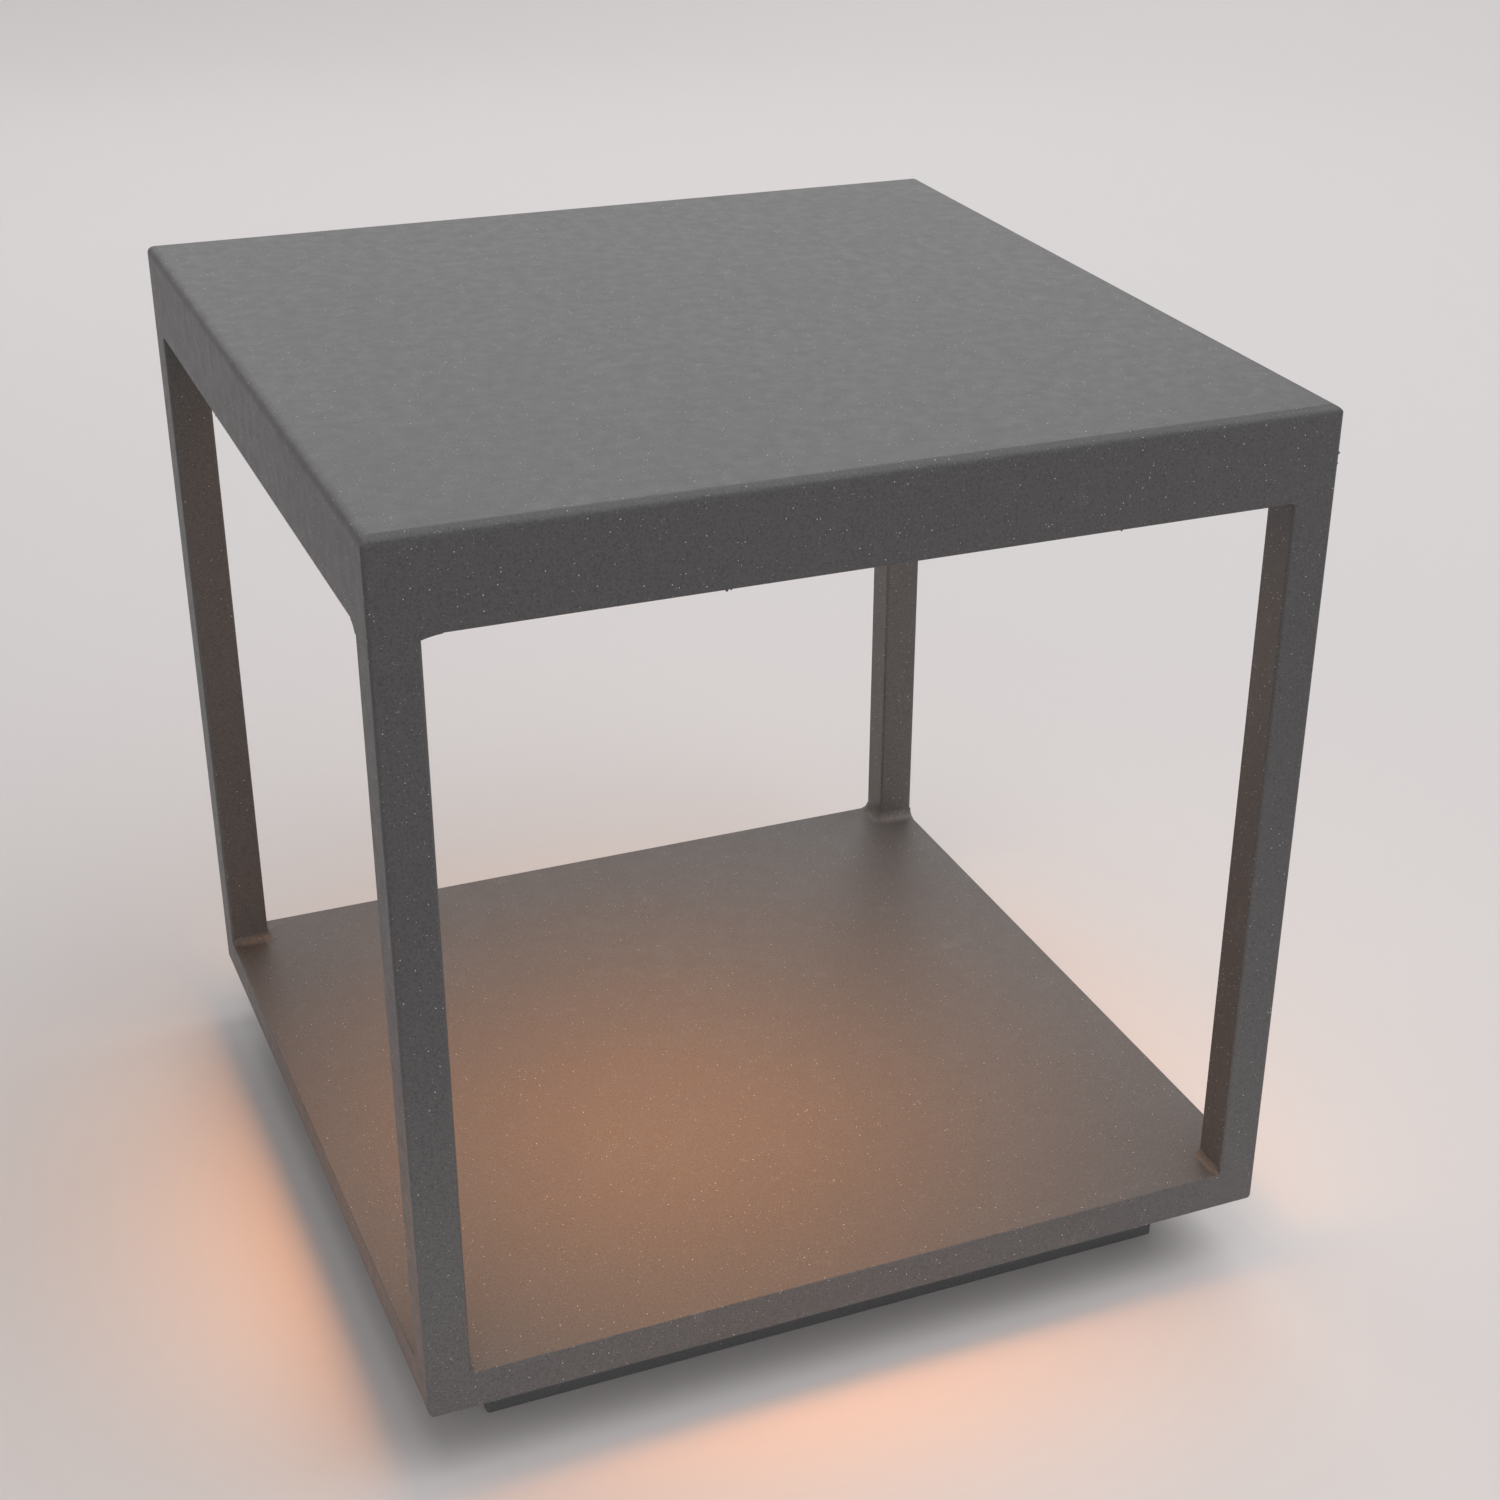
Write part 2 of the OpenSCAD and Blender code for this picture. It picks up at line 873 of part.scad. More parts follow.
module supply_lead() {
    color(black_rubber)
        cable_run(lead_route, lead_r, lead_bend_r);
}

// Rubber grommet in the cap's return flange, over the hollow of the back right post
module cable_grommet() {
    color(black_rubber)
        translate([post_c, post_c, z_cap])
            difference() {
                union() {
                    translate([0, 0, -1.2])
                        cylinder(h = 1.2, r = 4.2);
                    cylinder(h = sheet_t, r = 3.45);
                    translate([0, 0, sheet_t])
                        cylinder(h = 1.2, r = 4);
                }
                translate([0, 0, -1.2 - past])
                    cylinder(h = sheet_t + 2.4 + 2 * past, r = led_cable_r + tap);
            }
}

// Saddles that hold the LED cable to the deck's underside and to the cap's wall
module cable_clips() {
    color(white_plastic) {
        for (y = clip_y)
            difference() {
                translate([led_run_x, y, (z_led_low - 2.4 + z_deck) / 2])
                    cube([8, 6, z_deck - z_led_low + 2.4], center = true);
                rod([led_run_x, y - 4, z_led_low], [led_run_x, y + 4, z_led_low], led_cable_r + tap);
            }
        difference() {
            translate([(half - sheet_t + post_c - 3.4) / 2, cap_clip_y, z_led_high])
                cube([half - sheet_t - post_c + 3.4, 6, 7.5], center = true);
            rod([post_c, cap_clip_y - 4, z_led_high], [post_c, cap_clip_y + 4, z_led_high],
                led_cable_r + tap);
        }
    }
}

// Weld stud under the panel with its two nuts
module earth_stud() {
    color(brass_colour)
        translate([stud.x, stud.y, 0]) {
            translate([0, 0, z_lead - 4.5])
                cylinder(h = z_panel - z_lead + 4.5, d = 4);
            translate([0, 0, z_lead + 0.5])
                hex_nut(4, 7, 3);
            translate([0, 0, z_lead - 3.5])
                hex_nut(4, 7, 3);
        }
}

// Ring lug crimped on the earth wire
module earth_lug() {
    color(zinc)
        difference() {
            union() {
                translate([stud.x, stud.y, z_lead - 0.5])
                    cylinder(h = 1, r = 3.8);
                rod([stud.x - 9.5, stud.y, z_lead], [stud.x - 3.6, stud.y, z_lead], 1.9);
            }
            translate([stud.x, stud.y, z_lead - past])
                cylinder(h = 2 * past, d = 4.2);
            rod([stud.x - 9.5 - past, stud.y, z_lead], [stud.x - 5, stud.y, z_lead], earth_r + tap);
            for (side = [0, 1])
                translate([stud.x, stud.y, z_lead])
                    mirror([0, 0, side])
                        translate([0, 0, 0.5])
                            cylinder(h = 3, r = 4.3);
        }
}

module earth_wire() {
    color("#7fae3a")
        cable_run(earth_route, earth_r, 6);
}

cap();
post(-1, -1);  // post_front_left
post(1, -1);  // post_front_right
post(-1, 1);  // post_back_left
post(1, 1);  // post_back_right
base_deck();
rail(0);  // rail_front
rail(90);  // rail_right
rail(180);  // rail_back
rail(270);  // rail_left
underside_panel();
lower_welds();
upper_welds();
plinth_skirt();
plinth_gasket();
skirt_screws();
clinch_nuts();
set_screws();
weld_nuts();
mounting_plate();
plate_tabs();
entry_bushing();
heat_plate();
plate_bosses();
plate_screws();
led_board();
led_chips();
board_screws();
board_connector();
bezel_frame();
bezel_standoffs();
bezel_screws();
diffuser();
diffuser_gasket();
driver_bracket();
bracket_screws();
driver_case();
driver_end_caps();
driver_screws();
terminal_block();
terminal_screws();
block_screws();
led_cable();
supply_lead();
cable_grommet();
cable_clips();
earth_stud();
earth_lug();
earth_wire();
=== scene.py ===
"""Looks of the square pillar lantern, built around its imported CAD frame.

The CAD nodes keep their shapes. This script gives each of them a procedural finish, adds the
coated weld beads and a few specks of dried coat as worked meshes, makes the diffuser glow, and
sets the floor, lights and camera. Lengths are in metres, in the frame of the CAD model.
"""
import json
import math
import random

import bmesh
import bpy
from mathutils import Matrix, Vector


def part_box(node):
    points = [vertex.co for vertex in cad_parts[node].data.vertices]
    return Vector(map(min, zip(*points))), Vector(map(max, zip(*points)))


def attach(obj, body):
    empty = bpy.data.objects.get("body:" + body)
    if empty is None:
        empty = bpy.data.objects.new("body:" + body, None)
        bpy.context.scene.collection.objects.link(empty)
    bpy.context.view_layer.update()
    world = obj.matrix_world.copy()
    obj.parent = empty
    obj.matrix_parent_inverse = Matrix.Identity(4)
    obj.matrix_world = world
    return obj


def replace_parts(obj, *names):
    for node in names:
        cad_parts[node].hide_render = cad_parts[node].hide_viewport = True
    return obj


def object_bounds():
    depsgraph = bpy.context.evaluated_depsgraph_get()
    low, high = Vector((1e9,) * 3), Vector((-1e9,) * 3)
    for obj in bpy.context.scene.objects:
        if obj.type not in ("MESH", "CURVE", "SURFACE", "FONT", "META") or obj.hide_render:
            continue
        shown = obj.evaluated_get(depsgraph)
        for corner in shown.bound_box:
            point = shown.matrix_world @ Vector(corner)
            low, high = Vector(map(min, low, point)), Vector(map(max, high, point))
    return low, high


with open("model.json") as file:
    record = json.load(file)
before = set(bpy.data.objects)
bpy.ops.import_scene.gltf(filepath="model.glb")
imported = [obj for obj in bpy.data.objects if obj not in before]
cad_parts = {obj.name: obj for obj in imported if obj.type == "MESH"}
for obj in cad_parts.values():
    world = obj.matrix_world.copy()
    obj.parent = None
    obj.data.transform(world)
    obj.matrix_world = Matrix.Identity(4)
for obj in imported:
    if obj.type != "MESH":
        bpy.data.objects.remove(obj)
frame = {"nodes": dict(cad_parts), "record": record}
cad_low, cad_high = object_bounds()
NODES = frame["nodes"]
MM = 0.001

# ---- camera: fitted view of the lantern, with the lantern's width as the unit --------------
WIDTH = cad_high.x - cad_low.x
CAMERA_AZIMUTH = math.radians(-24.72)
CAMERA_ELEVATION = math.radians(28.59)
CAMERA_ROLL = math.radians(1.33)
CAMERA_TARGET = Vector((0, 0, 0.45)) * WIDTH
CAMERA_DISTANCE = 2.9932 * WIDTH
CAMERA_SLIDE = Vector((-0.1796, 0.0347)) * WIDTH
CAMERA_LENS = 59.67
CAMERA_SENSOR = 36
CAMERA_SHIFT = (-0.068, 0.0647)
CAMERA_CLIP_START = 0.01

# ---- colours, linear ------------------------------------------------------------------------
ANTHRACITE = (0.080, 0.0795, 0.081)
PLINTH_ANTHRACITE = (0.079, 0.082, 0.084)
# Near-white tone of the mica flakes: the flakes are real, this pale colour is a painted glint.
PAINTED_FLAKE_GLINT = (1.0, 1.0, 0.98)
BEAM_COLOUR = (1.0, 0.32, 0.03)
GLOW_COLOUR = (1.0, 0.52, 0.20)
STUDIO = (0.72, 0.695, 0.695)      # floor, wall and sky

# ---- light of the lantern -------------------------------------------------------------------
GLOW_STRENGTH = 1.6
CHIP_PITCH = 20 * MM
BEAM_CENTRE = (-0.03, -0.04)
BEAM_DROP = 0.5 * MM               # below the diffuser
BEAM_SIZE = (0.12, 0.12)
BEAM_POWER = 0.37
BEAM_SPREAD = 79

# ---- studio ---------------------------------------------------------------------------------
WORLD_STRENGTH = 0.17
LANTERN_MIDDLE = (0, 0, 0.13)
# Name, place, the point it faces, width and height, power in watts, and spread in degrees.
SOFT_LIGHTS = (
    ("overhead", (0.8, -0.5, 2.4), LANTERN_MIDDLE, (3.2, 3.0), 55, 180),
    ("back_softbox", (0.1, 1.65, 1.25), LANTERN_MIDDLE, (2.8, 1.2), 14, 180),
    ("front_fill", (-0.19, -0.46, 0.09), (0, -0.12, 0.02), (0.5, 0.08), 0.07, 44),
)
FLOOR_RINGS = (0.3, 0.9)
WALL_RADIUS = 2.5
WALL_HEIGHT = 1.2
WALL_BEND = 0.8
WALL_BEND_STEPS = 16
WALL_TURNS = 96


# ---- shader helpers -------------------------------------------------------------------------
def scaled(colour, factor):
    return tuple(c * factor for c in colour)


class Shader:
    """A material under construction: adds nodes, links them, and ends in a Principled shader."""

    def __init__(self, name):
        self.material = bpy.data.materials.new(name)
        self.material.use_nodes = True
        self.tree = self.material.node_tree
        self.principled = self.tree.nodes["Principled BSDF"]
        self.place = self.add("ShaderNodeTexCoord").outputs["Object"]

    def add(self, kind, links=None, **settings):
        node = self.tree.nodes.new(kind)
        for key, value in settings.items():
            setattr(node, key, value)
        for socket, value in (links or {}).items():
            self.feed(node.inputs[socket], value)
        return node

    def feed(self, socket, value):
        if isinstance(value, bpy.types.NodeSocket):
            self.tree.links.new(value, socket)
        else:
            socket.default_value = value

    def set(self, **values):
        for name, value in values.items():
            if isinstance(value, tuple):
                value = (*value, 1.0)
            self.feed(self.principled.inputs[name.replace("_", " ")], value)
        return self

    def math(self, operation, a, b=0.0):
        return self.add("ShaderNodeMath", {0: a, 1: b}, operation=operation).outputs[0]

    def remap(self, value, low, high, to_low, to_high):
        links = {"Value": value, "From Min": low, "From Max": high, "To Min": to_low,
                 "To Max": to_high}
        return self.add("ShaderNodeMapRange", links).outputs["Result"]

    def mix(self, share, a, b):
        a = (*a, 1.0) if isinstance(a, tuple) else a
        b = (*b, 1.0) if isinstance(b, tuple) else b
        node = self.add("ShaderNodeMix", {0: share}, data_type="RGBA")
        self.feed(node.inputs[6], a)
        self.feed(node.inputs[7], b)
        return node.outputs[2]

    def stretched(self, scale):
        return self.add("ShaderNodeMapping", {"Vector": self.place, "Scale": scale}).outputs[0]

    def noise(self, size, detail=2.0, place=None):
        links = {"Vector": place or self.place, "Scale": 1 / size, "Detail": detail}
        return self.add("ShaderNodeTexNoise", links).outputs["Fac"]

    def cells(self, size, feature="F1"):
        links = {"Vector": self.place, "Scale": 1 / size}
        return self.add("ShaderNodeTexVoronoi", links, feature=feature)

    def shade(self, factor, colour, spread):
        """The colour, darkened or lightened by factor (0 to 1) by up to spread either way."""
        return self.mix(factor, scaled(colour, 1 - spread), scaled(colour, 1 + spread))

    def bump(self, height, depth, strength=1.0, under=None):
        links = {"Height": height, "Distance": depth, "Strength": strength}
        if under is not None:
            links["Normal"] = under
        return self.add("ShaderNodeBump", links).outputs["Normal"]


def flakes_with_painted_glint(shader, colour, size, share, radius, brightness):
    """Colour with mica flakes, each with its own tone, in this share of the texture's cells.

    The flakes are real; their near-white colour is a painted glint. radius is the flake's, as a
    part of the cell's size.
    """
    cell = shader.cells(size)
    tone = shader.add("ShaderNodeSeparateColor", {"Color": cell.outputs["Color"]})
    chosen = shader.math("GREATER_THAN", tone.outputs["Red"], 1 - share)
    dot = shader.remap(cell.outputs["Distance"], radius * 0.8, radius, 1.0, 0.0)
    glint = shader.remap(tone.outputs["Green"], 0.0, 1.0, 0.3, 1.0)
    amount = shader.math("MULTIPLY", shader.math("MULTIPLY", chosen, dot), glint)
    return shader.mix(shader.math("MULTIPLY", amount, brightness), colour, PAINTED_FLAKE_GLINT)


def powder_coat(name, colour, roughness, flake_share, grit):
    """Fine sand-textured powder coat: grain, slow cloudiness, rub marks, and sparse mica flakes
    painted pale as glints.
    """
    s = Shader(name)
    cloud = s.noise(55 * MM, 4)
    mottle = s.noise(4.5 * MM, 3)
    grain = s.noise(0.6 * MM, 3)
    pits = s.cells(1.1 * MM, "SMOOTH_F1").outputs["Distance"]
    rub = s.noise(9 * MM, 6, s.stretched((1, 1, 0.6)))
    tint = s.shade(s.remap(cloud, 0.3, 0.7, 0, 1), colour, 0.07)
    tint = s.mix(s.remap(mottle, 0.3, 0.7, 0, 1), tint, s.shade(mottle, colour, 0.08))
    tint = s.mix(s.remap(grain, 0.35, 0.7, 0, grit), tint, scaled(colour, 1.9))
    tint = s.mix(s.remap(grain, 0.45, 0.2, 0, grit), tint, scaled(colour, 0.35))
    tint = s.mix(s.remap(rub, 0.66, 0.74, 0, 0.22), tint, scaled(colour, 2.2))
    # Mica flakes: real in the coat, their pale specks are painted glints.
    tint = flakes_with_painted_glint(s, tint, 0.85 * MM, flake_share, 0.16, 1.0)
    tint = flakes_with_painted_glint(s, tint, 0.55 * MM, flake_share, 0.22, 0.5)
    rough = s.remap(s.math("ADD", grain, mottle), 0.7, 1.3, roughness - 0.07, roughness + 0.07)
    pitted = s.bump(pits, 0.05 * MM * grit)
    sand = s.bump(grain, 0.16 * MM * grit, under=pitted)
    return s.set(Base_Color=tint, Roughness=rough, Normal=sand).material


def worn_metal(name, colour, roughness, streak):
    """Bare metal with fine streaks along streak (stretch per axis) and faint handling marks."""
    s = Shader(name)
    lines = s.noise(0.35 * MM, 3, s.stretched(streak))
    marks = s.noise(14 * MM, 4)
    tint = s.shade(s.remap(marks, 0.3, 0.7, 0, 1), colour, 0.10)
    rough = s.remap(s.math("ADD", lines, marks), 0.7, 1.3, roughness - 0.08, roughness + 0.12)
    return s.set(Base_Color=tint, Roughness=rough, Metallic=1.0,
                 Normal=s.bump(lines, 0.01 * MM)).material


def zinc_coat(name, colour):
    """Galvanised steel: spangles of slightly different tone and sheen."""
    s = Shader(name)
    spangle = s.cells(7 * MM).outputs["Color"]
    tone = s.add("ShaderNodeSeparateColor", {"Color": spangle}).outputs["Red"]
    frost = s.noise(0.8 * MM, 3)
    tint = s.shade(tone, colour, 0.13)
    rough = s.remap(s.math("ADD", tone, frost), 0.3, 1.6, 0.28, 0.52)
    return s.set(Base_Color=tint, Roughness=rough, Metallic=1.0,
                 Normal=s.bump(frost, 0.008 * MM)).material


def moulded(name, colour, roughness, grain_size=0.7 * MM, depth=0.02 * MM):
    """Moulded plastic or rubber: eroded surface grain with slow tone drift."""
    s = Shader(name)
    grain = s.noise(grain_size, 3)
    drift = s.noise(25 * MM, 2)
    tint = s.shade(s.remap(s.math("ADD", drift, grain), 0.7, 1.3, 0, 1), colour, 0.05)
    rough = s.remap(grain, 0.3, 0.7, roughness - 0.05, roughness + 0.05)
    return s.set(Base_Color=tint, Roughness=rough, Normal=s.bump(grain, depth)).material


def sheath(name, colour, stripe=None):
    """Cable sheath with faint extrusion lines; stripe is a second colour in broad cells."""
    s = Shader(name)
    lines = s.noise(0.5 * MM, 2)
    tint = s.shade(lines, colour, 0.06)
    if stripe:
        tint = s.mix(s.math("GREATER_THAN", s.noise(3 * MM, 0), 0.52), tint, stripe)
    rough = s.remap(lines, 0.3, 0.7, 0.42, 0.55)
    return s.set(Base_Color=tint, Roughness=rough, Normal=s.bump(lines, 0.01 * MM)).material


def board_mask(name, colour):
    """White solder mask over copper: broad faintly raised tracks and fine pin-holes."""
    s = Shader(name)
    track = s.remap(s.cells(9 * MM, "DISTANCE_TO_EDGE").outputs["Distance"], 0.04, 0.09, 0, 1)
    dust = s.noise(0.5 * MM, 2)
    tint = s.mix(track, scaled(colour, 0.86), colour)
    return s.set(Base_Color=tint, Roughness=s.remap(dust, 0.3, 0.7, 0.4, 0.5),
                 Normal=s.bump(track, 0.03 * MM)).material


def opal_glow(name, colour, light, strength, pitch):
    """Opal sheet lit from behind: the LED grid is just visible as a soft swell in the glow."""
    s = Shader(name)
    axes = s.add("ShaderNodeSeparateXYZ", {"Vector": s.place})
    waves = []
    for axis in ("X", "Y"):
        moved = s.math("ADD", axes.outputs[axis], pitch / 2)
        waves.append(s.math("COSINE", s.math("MULTIPLY", moved, 2 * math.pi / pitch)))
    swell = s.remap(s.math("ADD", *waves), -2, 2, strength * 0.9, strength * 1.1)
    haze = s.noise(0.6 * MM, 2)
    rough = s.remap(haze, 0.3, 0.7, 0.3, 0.38)
    return s.set(Base_Color=s.shade(haze, colour, 0.02), Roughness=rough,
                 Emission_Color=light, Emission_Strength=swell).material


FINISHES = {
    "coat": powder_coat("coat", ANTHRACITE, 0.46, 0.055, 0.42),
    "plinth_coat": powder_coat("plinth_coat", PLINTH_ANTHRACITE, 0.5, 0.012, 0.3),
    "bare_aluminium": worn_metal("bare_aluminium", (0.55, 0.56, 0.58), 0.38, (0.05, 1, 1)),
    "zinc_plate": zinc_coat("zinc_plate", (0.45, 0.46, 0.47)),
    "screw_steel": worn_metal("screw_steel", (0.42, 0.42, 0.43), 0.3, (1, 1, 0.2)),
    "brass": worn_metal("brass", (0.52, 0.36, 0.14), 0.32, (1, 1, 0.2)),
    "black_rubber": moulded("black_rubber", (0.018, 0.018, 0.019), 0.72),
    "silicone": moulded("silicone", (0.68, 0.67, 0.64), 0.5),
    "white_plastic": moulded("white_plastic", (0.74, 0.73, 0.70), 0.42),
    "dark_plastic": moulded("dark_plastic", (0.022, 0.022, 0.024), 0.48),
    "board_white": board_mask("board_white", (0.78, 0.78, 0.76)),
    "led_phosphor": moulded("led_phosphor", (0.78, 0.56, 0.14), 0.25, 0.3 * MM),
    "opal_diffuser": opal_glow("opal_diffuser", (0.82, 0.78, 0.70), GLOW_COLOUR, GLOW_STRENGTH,
                               CHIP_PITCH),
    "cable_white": sheath("cable_white", (0.66, 0.66, 0.63)),
    "cable_black": sheath("cable_black", (0.016, 0.016, 0.017)),
    "earth_green": sheath("earth_green", (0.10, 0.33, 0.04), (0.68, 0.60, 0.05)),
}


def finish_nodes():
    """Gives each CAD node the finish that its slot in the record names."""
    slot_of = {part["node"]: part["material_slot"] for part in frame["record"]["subparts"]}
    for name, piece in NODES.items():
        piece.data.materials.clear()
        piece.data.materials.append(FINISHES[slot_of[name]])


# ---- welds and coat nibs --------------------------------------------------------------------
# Worked meshes in place of the plain CAD beads: ground flush on the outer faces, rippled inside.
POST_LOW, POST_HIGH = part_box("post_back_right")
HALF = POST_HIGH.x
INNER = POST_LOW.x
CORNER_R = 0.9 * MM          # upright edges of the posts
CORNER_STEPS = 6
SHARP_ANGLE = math.radians(35)
PROUD = 0.02 * MM            # of the posts' outer faces
BEAD_DEPTH = 0.9 * MM        # sunk in the metal
BEAD_ARC_STEPS = 9
BEAD_STEP = 0.45 * MM
BLEND = 3.0 * MM             # from an end of a bead to its full middle
RIPPLE = 1.8 * MM
RIPPLE_SWELL = 0.07
RIPPLE_SCATTER = 0.03
SEAM_STEP = 1.5 * MM
SEAM_SKIN = 0.75 * PROUD
SEAM_REACH = 0.55 * MM
SEAM_DEPTH = 0.6 * MM
# Size of a bead at the front or back face, in the inner corner, and at the side face: how far it
# runs out along the sheet and up along the post in mm, and its fullness, from hollow to straight.
# Keys are the end of the post and the signs of x and y.
SMALL_END = (0.9, 1.0, 0.2)
BEADS = {
    ("foot", -1, -1): (SMALL_END, (2.6, 2.6, 0.1), SMALL_END),
    ("foot", 1, -1): (SMALL_END, (1.9, 1.8, 0.6), (1.3, 1.4, 0.3)),
    ("foot", -1, 1): ((1.4, 1.5, 0.1), (2.8, 2.6, 0.2), SMALL_END),
    ("foot", 1, 1): ((2.2, 2.0, 0.0), (3.2, 3.3, 0.1), (3.0, 3.2, 0.0)),
    ("top", -1, -1): ((5.0, 0.9, 0.6), (2.4, 2.2, 0.1), (3.4, 2.4, 0.4)),
    ("top", 1, -1): ((0.3, 0.3, 0.0), (2.2, 1.6, 0.1), (1.0, 1.0, 0.0)),
    ("top", -1, 1): ((1.4, 1.3, 0.0), (2.3, 2.2, 0.1), (1.0, 1.2, 0.0)),
    ("top", 1, 1): ((1.2, 1.2, 0.0), (2.2, 2.4, 0.1), (1.6, 1.3, 0.0)),
}
# Centre and radius in mm of each dried speck of coat on the edges of the cap.
NIBS = (
    ((124.7, -124.7, 253.6), 0.42),
    ((124.6, -124.75, 250.9), 0.3),
    ((-41.0, -124.8, 241.45), 0.36),
    ((-39.9, -124.7, 241.5), 0.25),
    ((63.0, -124.8, 241.5), 0.28),
    ((-124.7, 38.0, 241.5), 0.3),
)
NIB_ROUGHNESS = (0.88, 1.06)
NIB_SUBDIVISIONS = 3


def smooth(t):
    """0 to 1 with level ends."""
    t = min(max(t, 0.0), 1.0)
    return t * t * (3 - 2 * t)


def bead_section(out, up, fullness):
    """Fillet from (out, 0) on the sheet to (0, up) on the post, closed inside the metal."""
    arc = []
    for i in range(BEAD_ARC_STEPS + 1):
        turn = math.pi / 2 * i / BEAD_ARC_STEPS
        hollow = Vector((out * (1 - math.sin(turn)), up * (1 - math.cos(turn))))
        straight = Vector((out * (1 - i / BEAD_ARC_STEPS), up * i / BEAD_ARC_STEPS))
        arc.append(tuple(hollow.lerp(straight, fullness)))
    inside = [(-BEAD_DEPTH, up * 0.7), (-BEAD_DEPTH, -BEAD_DEPTH), (out * 0.8, -BEAD_DEPTH)]
    return arc + inside


def corner_path(first, last, centre, radius, side, step):
    """Stations (point, outward normal) along two faces of a post and round the edge between them.

    The path runs at x = centre + side * radius from y = first, turns about (centre, centre),
    and ends at x = last. side is 1 round the outer edge of the post and -1 round the inner one.
    """
    line = centre + side * radius
    count = max(2, round(abs(first - centre) / step))
    stations = [((line, first + (centre - first) * i / count), (side, 0.0)) for i in range(count)]
    for i in range(CORNER_STEPS + 1):
        angle = math.pi / 2 * i / CORNER_STEPS
        normal = (side * math.cos(angle), side * math.sin(angle))
        stations.append(((centre + radius * normal[0], centre + radius * normal[1]), normal))
    stations += [((centre + (last - centre) * i / count, line), (0.0, side))
                 for i in range(1, count + 1)]
    return stations


def sweep(bm, stations, sections, signs, z, up):
    """Closed solid through one section per station, mirrored into the corner with these signs."""
    rings = []
    for (point, normal), section in zip(stations, sections):
        places = [(signs[0] * (point[0] + normal[0] * a), signs[1] * (point[1] + normal[1] * a),
                   z + up * b) for a, b in section]
        rings.append([bm.verts.new(place) for place in places])
    size = len(rings[0])
    for near, far in zip(rings, rings[1:]):
        for i in range(size):
            j = (i + 1) % size
            bm.faces.new((near[i], near[j], far[j], far[i]))
    bm.faces.new(rings[0])
    bm.faces.new(rings[-1])


def add_bead(bm, rng, legs, signs, z, up):
    """Rippled bead round the two inner faces of a post, ending flush with the outer faces."""
    face_end, middle, side_end = [Vector((out * MM, rise * MM, full)) for out, rise, full in legs]
    edge = HALF + PROUD
    stations = corner_path(edge, edge, INNER + CORNER_R, CORNER_R, -1, BEAD_STEP)
    phase = rng.uniform(0, 2 * math.pi)
    travelled = 0.0
    last = Vector(stations[0][0])
    sections = []
    for point, _ in stations:
        here = Vector(point)
        travelled += (here - last).length
        last = here
        to_face, to_side = edge - here.y, edge - here.x
        at_end = face_end if to_face < to_side else side_end
        share = smooth(min(to_face, to_side) / BLEND)
        wave = math.sin(2 * math.pi * travelled / RIPPLE + phase)
        scatter = rng.uniform(-RIPPLE_SCATTER, RIPPLE_SCATTER)
        swell = 1 + share * (RIPPLE_SWELL * wave + scatter)
        out, rise, fullness = at_end.lerp(middle, share)
        sections.append(bead_section(out * swell, rise * swell, fullness))
    sweep(bm, stations, sections, signs, z, up)


def add_ground_seam(bm, signs, z, up):
    """Thin flush strip where the weld is ground off on the two outer faces of a post."""
    stations = corner_path(INNER, INNER, HALF - CORNER_R, CORNER_R, 1, SEAM_STEP)
    crown = 0.6 * SEAM_REACH
    section = [(-SEAM_DEPTH, -SEAM_REACH), (0.0, -SEAM_REACH), (SEAM_SKIN, -crown),
               (SEAM_SKIN, crown), (0.0, SEAM_REACH), (-SEAM_DEPTH, SEAM_REACH)]
    sweep(bm, stations, [section] * len(stations), signs, z, up)


def finish_mesh(bm, name, finish):
    """Object from a bmesh, with outward normals and the finish of a record slot, on the lantern."""
    bmesh.ops.recalc_face_normals(bm, faces=bm.faces)
    mesh = bpy.data.meshes.new(name)
    bm.to_mesh(mesh)
    bm.free()
    mesh.materials.append(FINISHES[finish])
    mesh.shade_smooth()
    mesh.set_sharp_from_angle(angle=SHARP_ANGLE)
    piece = bpy.data.objects.new(name, mesh)
    bpy.context.scene.collection.objects.link(piece)
    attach(piece, "lantern")
    return piece


def make_welds(end, name, node, z, up):
    """The beads and seams at one end of all four posts, in place of the CAD node's plain ones."""
    rng = random.Random(end)
    bm = bmesh.new()
    for (bead_end, x, y), legs in BEADS.items():
        if bead_end == end:
            add_bead(bm, rng, legs, (x, y), z, up)
            add_ground_seam(bm, (x, y), z, up)
    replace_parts(finish_mesh(bm, name, "coat"), node)


def make_nibs():
    """Specks of coat that dried on the cap's edges: rough lumps, cut flush with its outer faces."""
    rng = random.Random("nibs")
    bm = bmesh.new()
    for place, size in NIBS:
        lump = bmesh.ops.create_icosphere(bm, subdivisions=NIB_SUBDIVISIONS, radius=size * MM)
        for vert in lump["verts"]:
            vert.co = vert.co * rng.uniform(*NIB_ROUGHNESS) + Vector(place) * MM
            vert.co.x = min(vert.co.x, HALF)
            vert.co.y = max(vert.co.y, -HALF)
    finish_mesh(bm, "coat_nibs", "coat")


# ---- stage, lights and camera ---------------------------------------------------------------
def plain(name, colour, roughness):
    """Plain pale stage paint with a barely visible texture."""
    s = Shader(name)
    drift = s.noise(0.6, 2)
    return s.set(Base_Color=s.shade(drift, colour, 0.01), Roughness=roughness).material


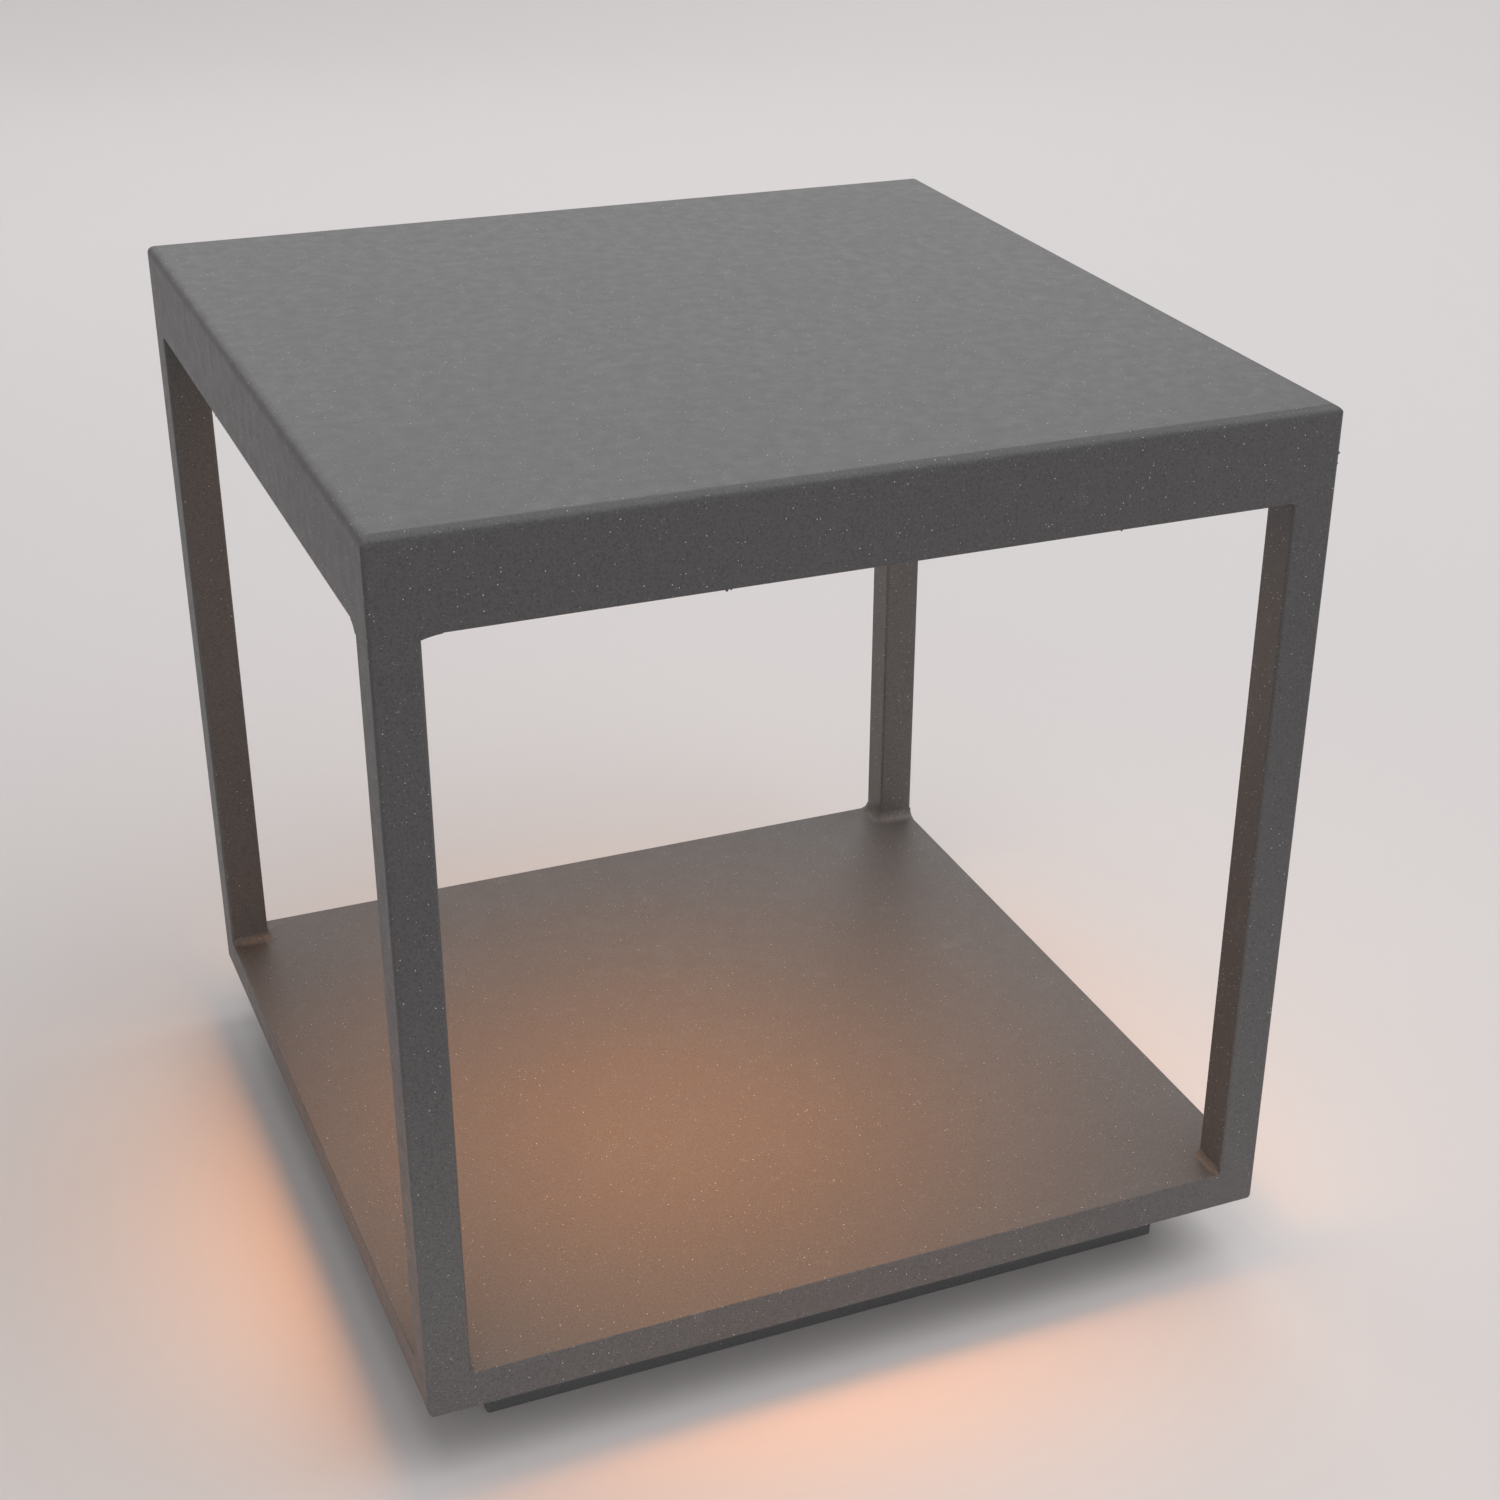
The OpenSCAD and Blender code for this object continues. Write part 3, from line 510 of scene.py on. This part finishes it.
def make_stage():
    """A pale round floor whose rim sweeps up into a low pale wall on all sides."""
    profile = [(radius, 0.0) for radius in FLOOR_RINGS]
    for i in range(WALL_BEND_STEPS + 1):
        angle = math.pi / 2 * i / WALL_BEND_STEPS
        profile.append((WALL_RADIUS - WALL_BEND + WALL_BEND * math.sin(angle),
                        WALL_BEND - WALL_BEND * math.cos(angle)))
    profile.append((WALL_RADIUS, WALL_HEIGHT))
    angles = [2 * math.pi * i / WALL_TURNS for i in range(WALL_TURNS)]
    verts = [(r * math.cos(angle), r * math.sin(angle), z) for r, z in profile for angle in angles]
    faces = [tuple(range(WALL_TURNS))]
    for ring in range(len(profile) - 1):
        near = ring * WALL_TURNS
        far = near + WALL_TURNS
        for i in range(WALL_TURNS):
            j = (i + 1) % WALL_TURNS
            faces.append((near + i, far + i, far + j, near + j))
    mesh = bpy.data.meshes.new("sweep")
    mesh.from_pydata(verts, [], faces)
    mesh.materials.append(plain("stage_paint", STUDIO, 0.9))
    mesh.shade_smooth()
    floor = bpy.data.objects.new("sweep", mesh)
    bpy.context.scene.collection.objects.link(floor)


def area_light(name, place, target, size, power, spread, colour=(1, 1, 1)):
    """A rectangular lamp at place, turned to its target, that the camera can't see."""
    lamp = bpy.data.lights.new(name, "AREA")
    lamp.spread = math.radians(spread)
    lamp.shape = "RECTANGLE"
    lamp.size, lamp.size_y = size
    lamp.energy = power
    lamp.color = colour
    light = bpy.data.objects.new(name, lamp)
    light.visible_camera = False
    light.location = place
    light.rotation_euler = (Vector(target) - Vector(place)).to_track_quat("-Z", "Y").to_euler()
    bpy.context.scene.collection.objects.link(light)


def make_lights():
    """Soft studio lights, the lantern's own downward beam, and an even pale world."""
    for row in SOFT_LIGHTS:
        area_light(*row)
    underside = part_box("diffuser")[0].z
    area_light("beam", (*BEAM_CENTRE, underside - BEAM_DROP), (0, 0, 0), BEAM_SIZE, BEAM_POWER,
               BEAM_SPREAD, BEAM_COLOUR)
    world = bpy.data.worlds.new("studio")
    world.use_nodes = True
    background = world.node_tree.nodes["Background"]
    background.inputs["Color"].default_value = (*STUDIO, 1.0)
    background.inputs["Strength"].default_value = WORLD_STRENGTH
    bpy.context.scene.world = world
    bpy.context.scene.view_settings.view_transform = "Standard"


def make_camera():
    """The fitted view: turned and rolled about the target, then slid across, with a lens shift."""
    a, e, r = CAMERA_AZIMUTH, CAMERA_ELEVATION, CAMERA_ROLL
    back = Vector((math.sin(a) * math.cos(e), -math.cos(a) * math.cos(e), math.sin(e)))
    level = Vector((math.cos(a), math.sin(a), 0))
    rise = back.cross(level)
    right = level * math.cos(r) + rise * math.sin(r)
    up = rise * math.cos(r) - level * math.sin(r)
    data = bpy.data.cameras.new("view")
    data.lens = CAMERA_LENS
    data.sensor_width = CAMERA_SENSOR
    data.shift_x, data.shift_y = CAMERA_SHIFT
    data.clip_start = CAMERA_CLIP_START
    camera = bpy.data.objects.new("view", data)
    camera.location = (CAMERA_TARGET + CAMERA_DISTANCE * back - CAMERA_SLIDE.x * right
                       - CAMERA_SLIDE.y * up)
    camera.rotation_euler = Matrix((right, up, back)).transposed().to_euler()
    bpy.context.scene.collection.objects.link(camera)
    bpy.context.scene.camera = camera


finish_nodes()
make_welds("foot", "foot_weld_beads", "lower_welds", POST_LOW.z, 1)
make_welds("top", "cap_weld_beads", "upper_welds", POST_HIGH.z, -1)
make_nibs()
make_stage()
make_lights()
make_camera()
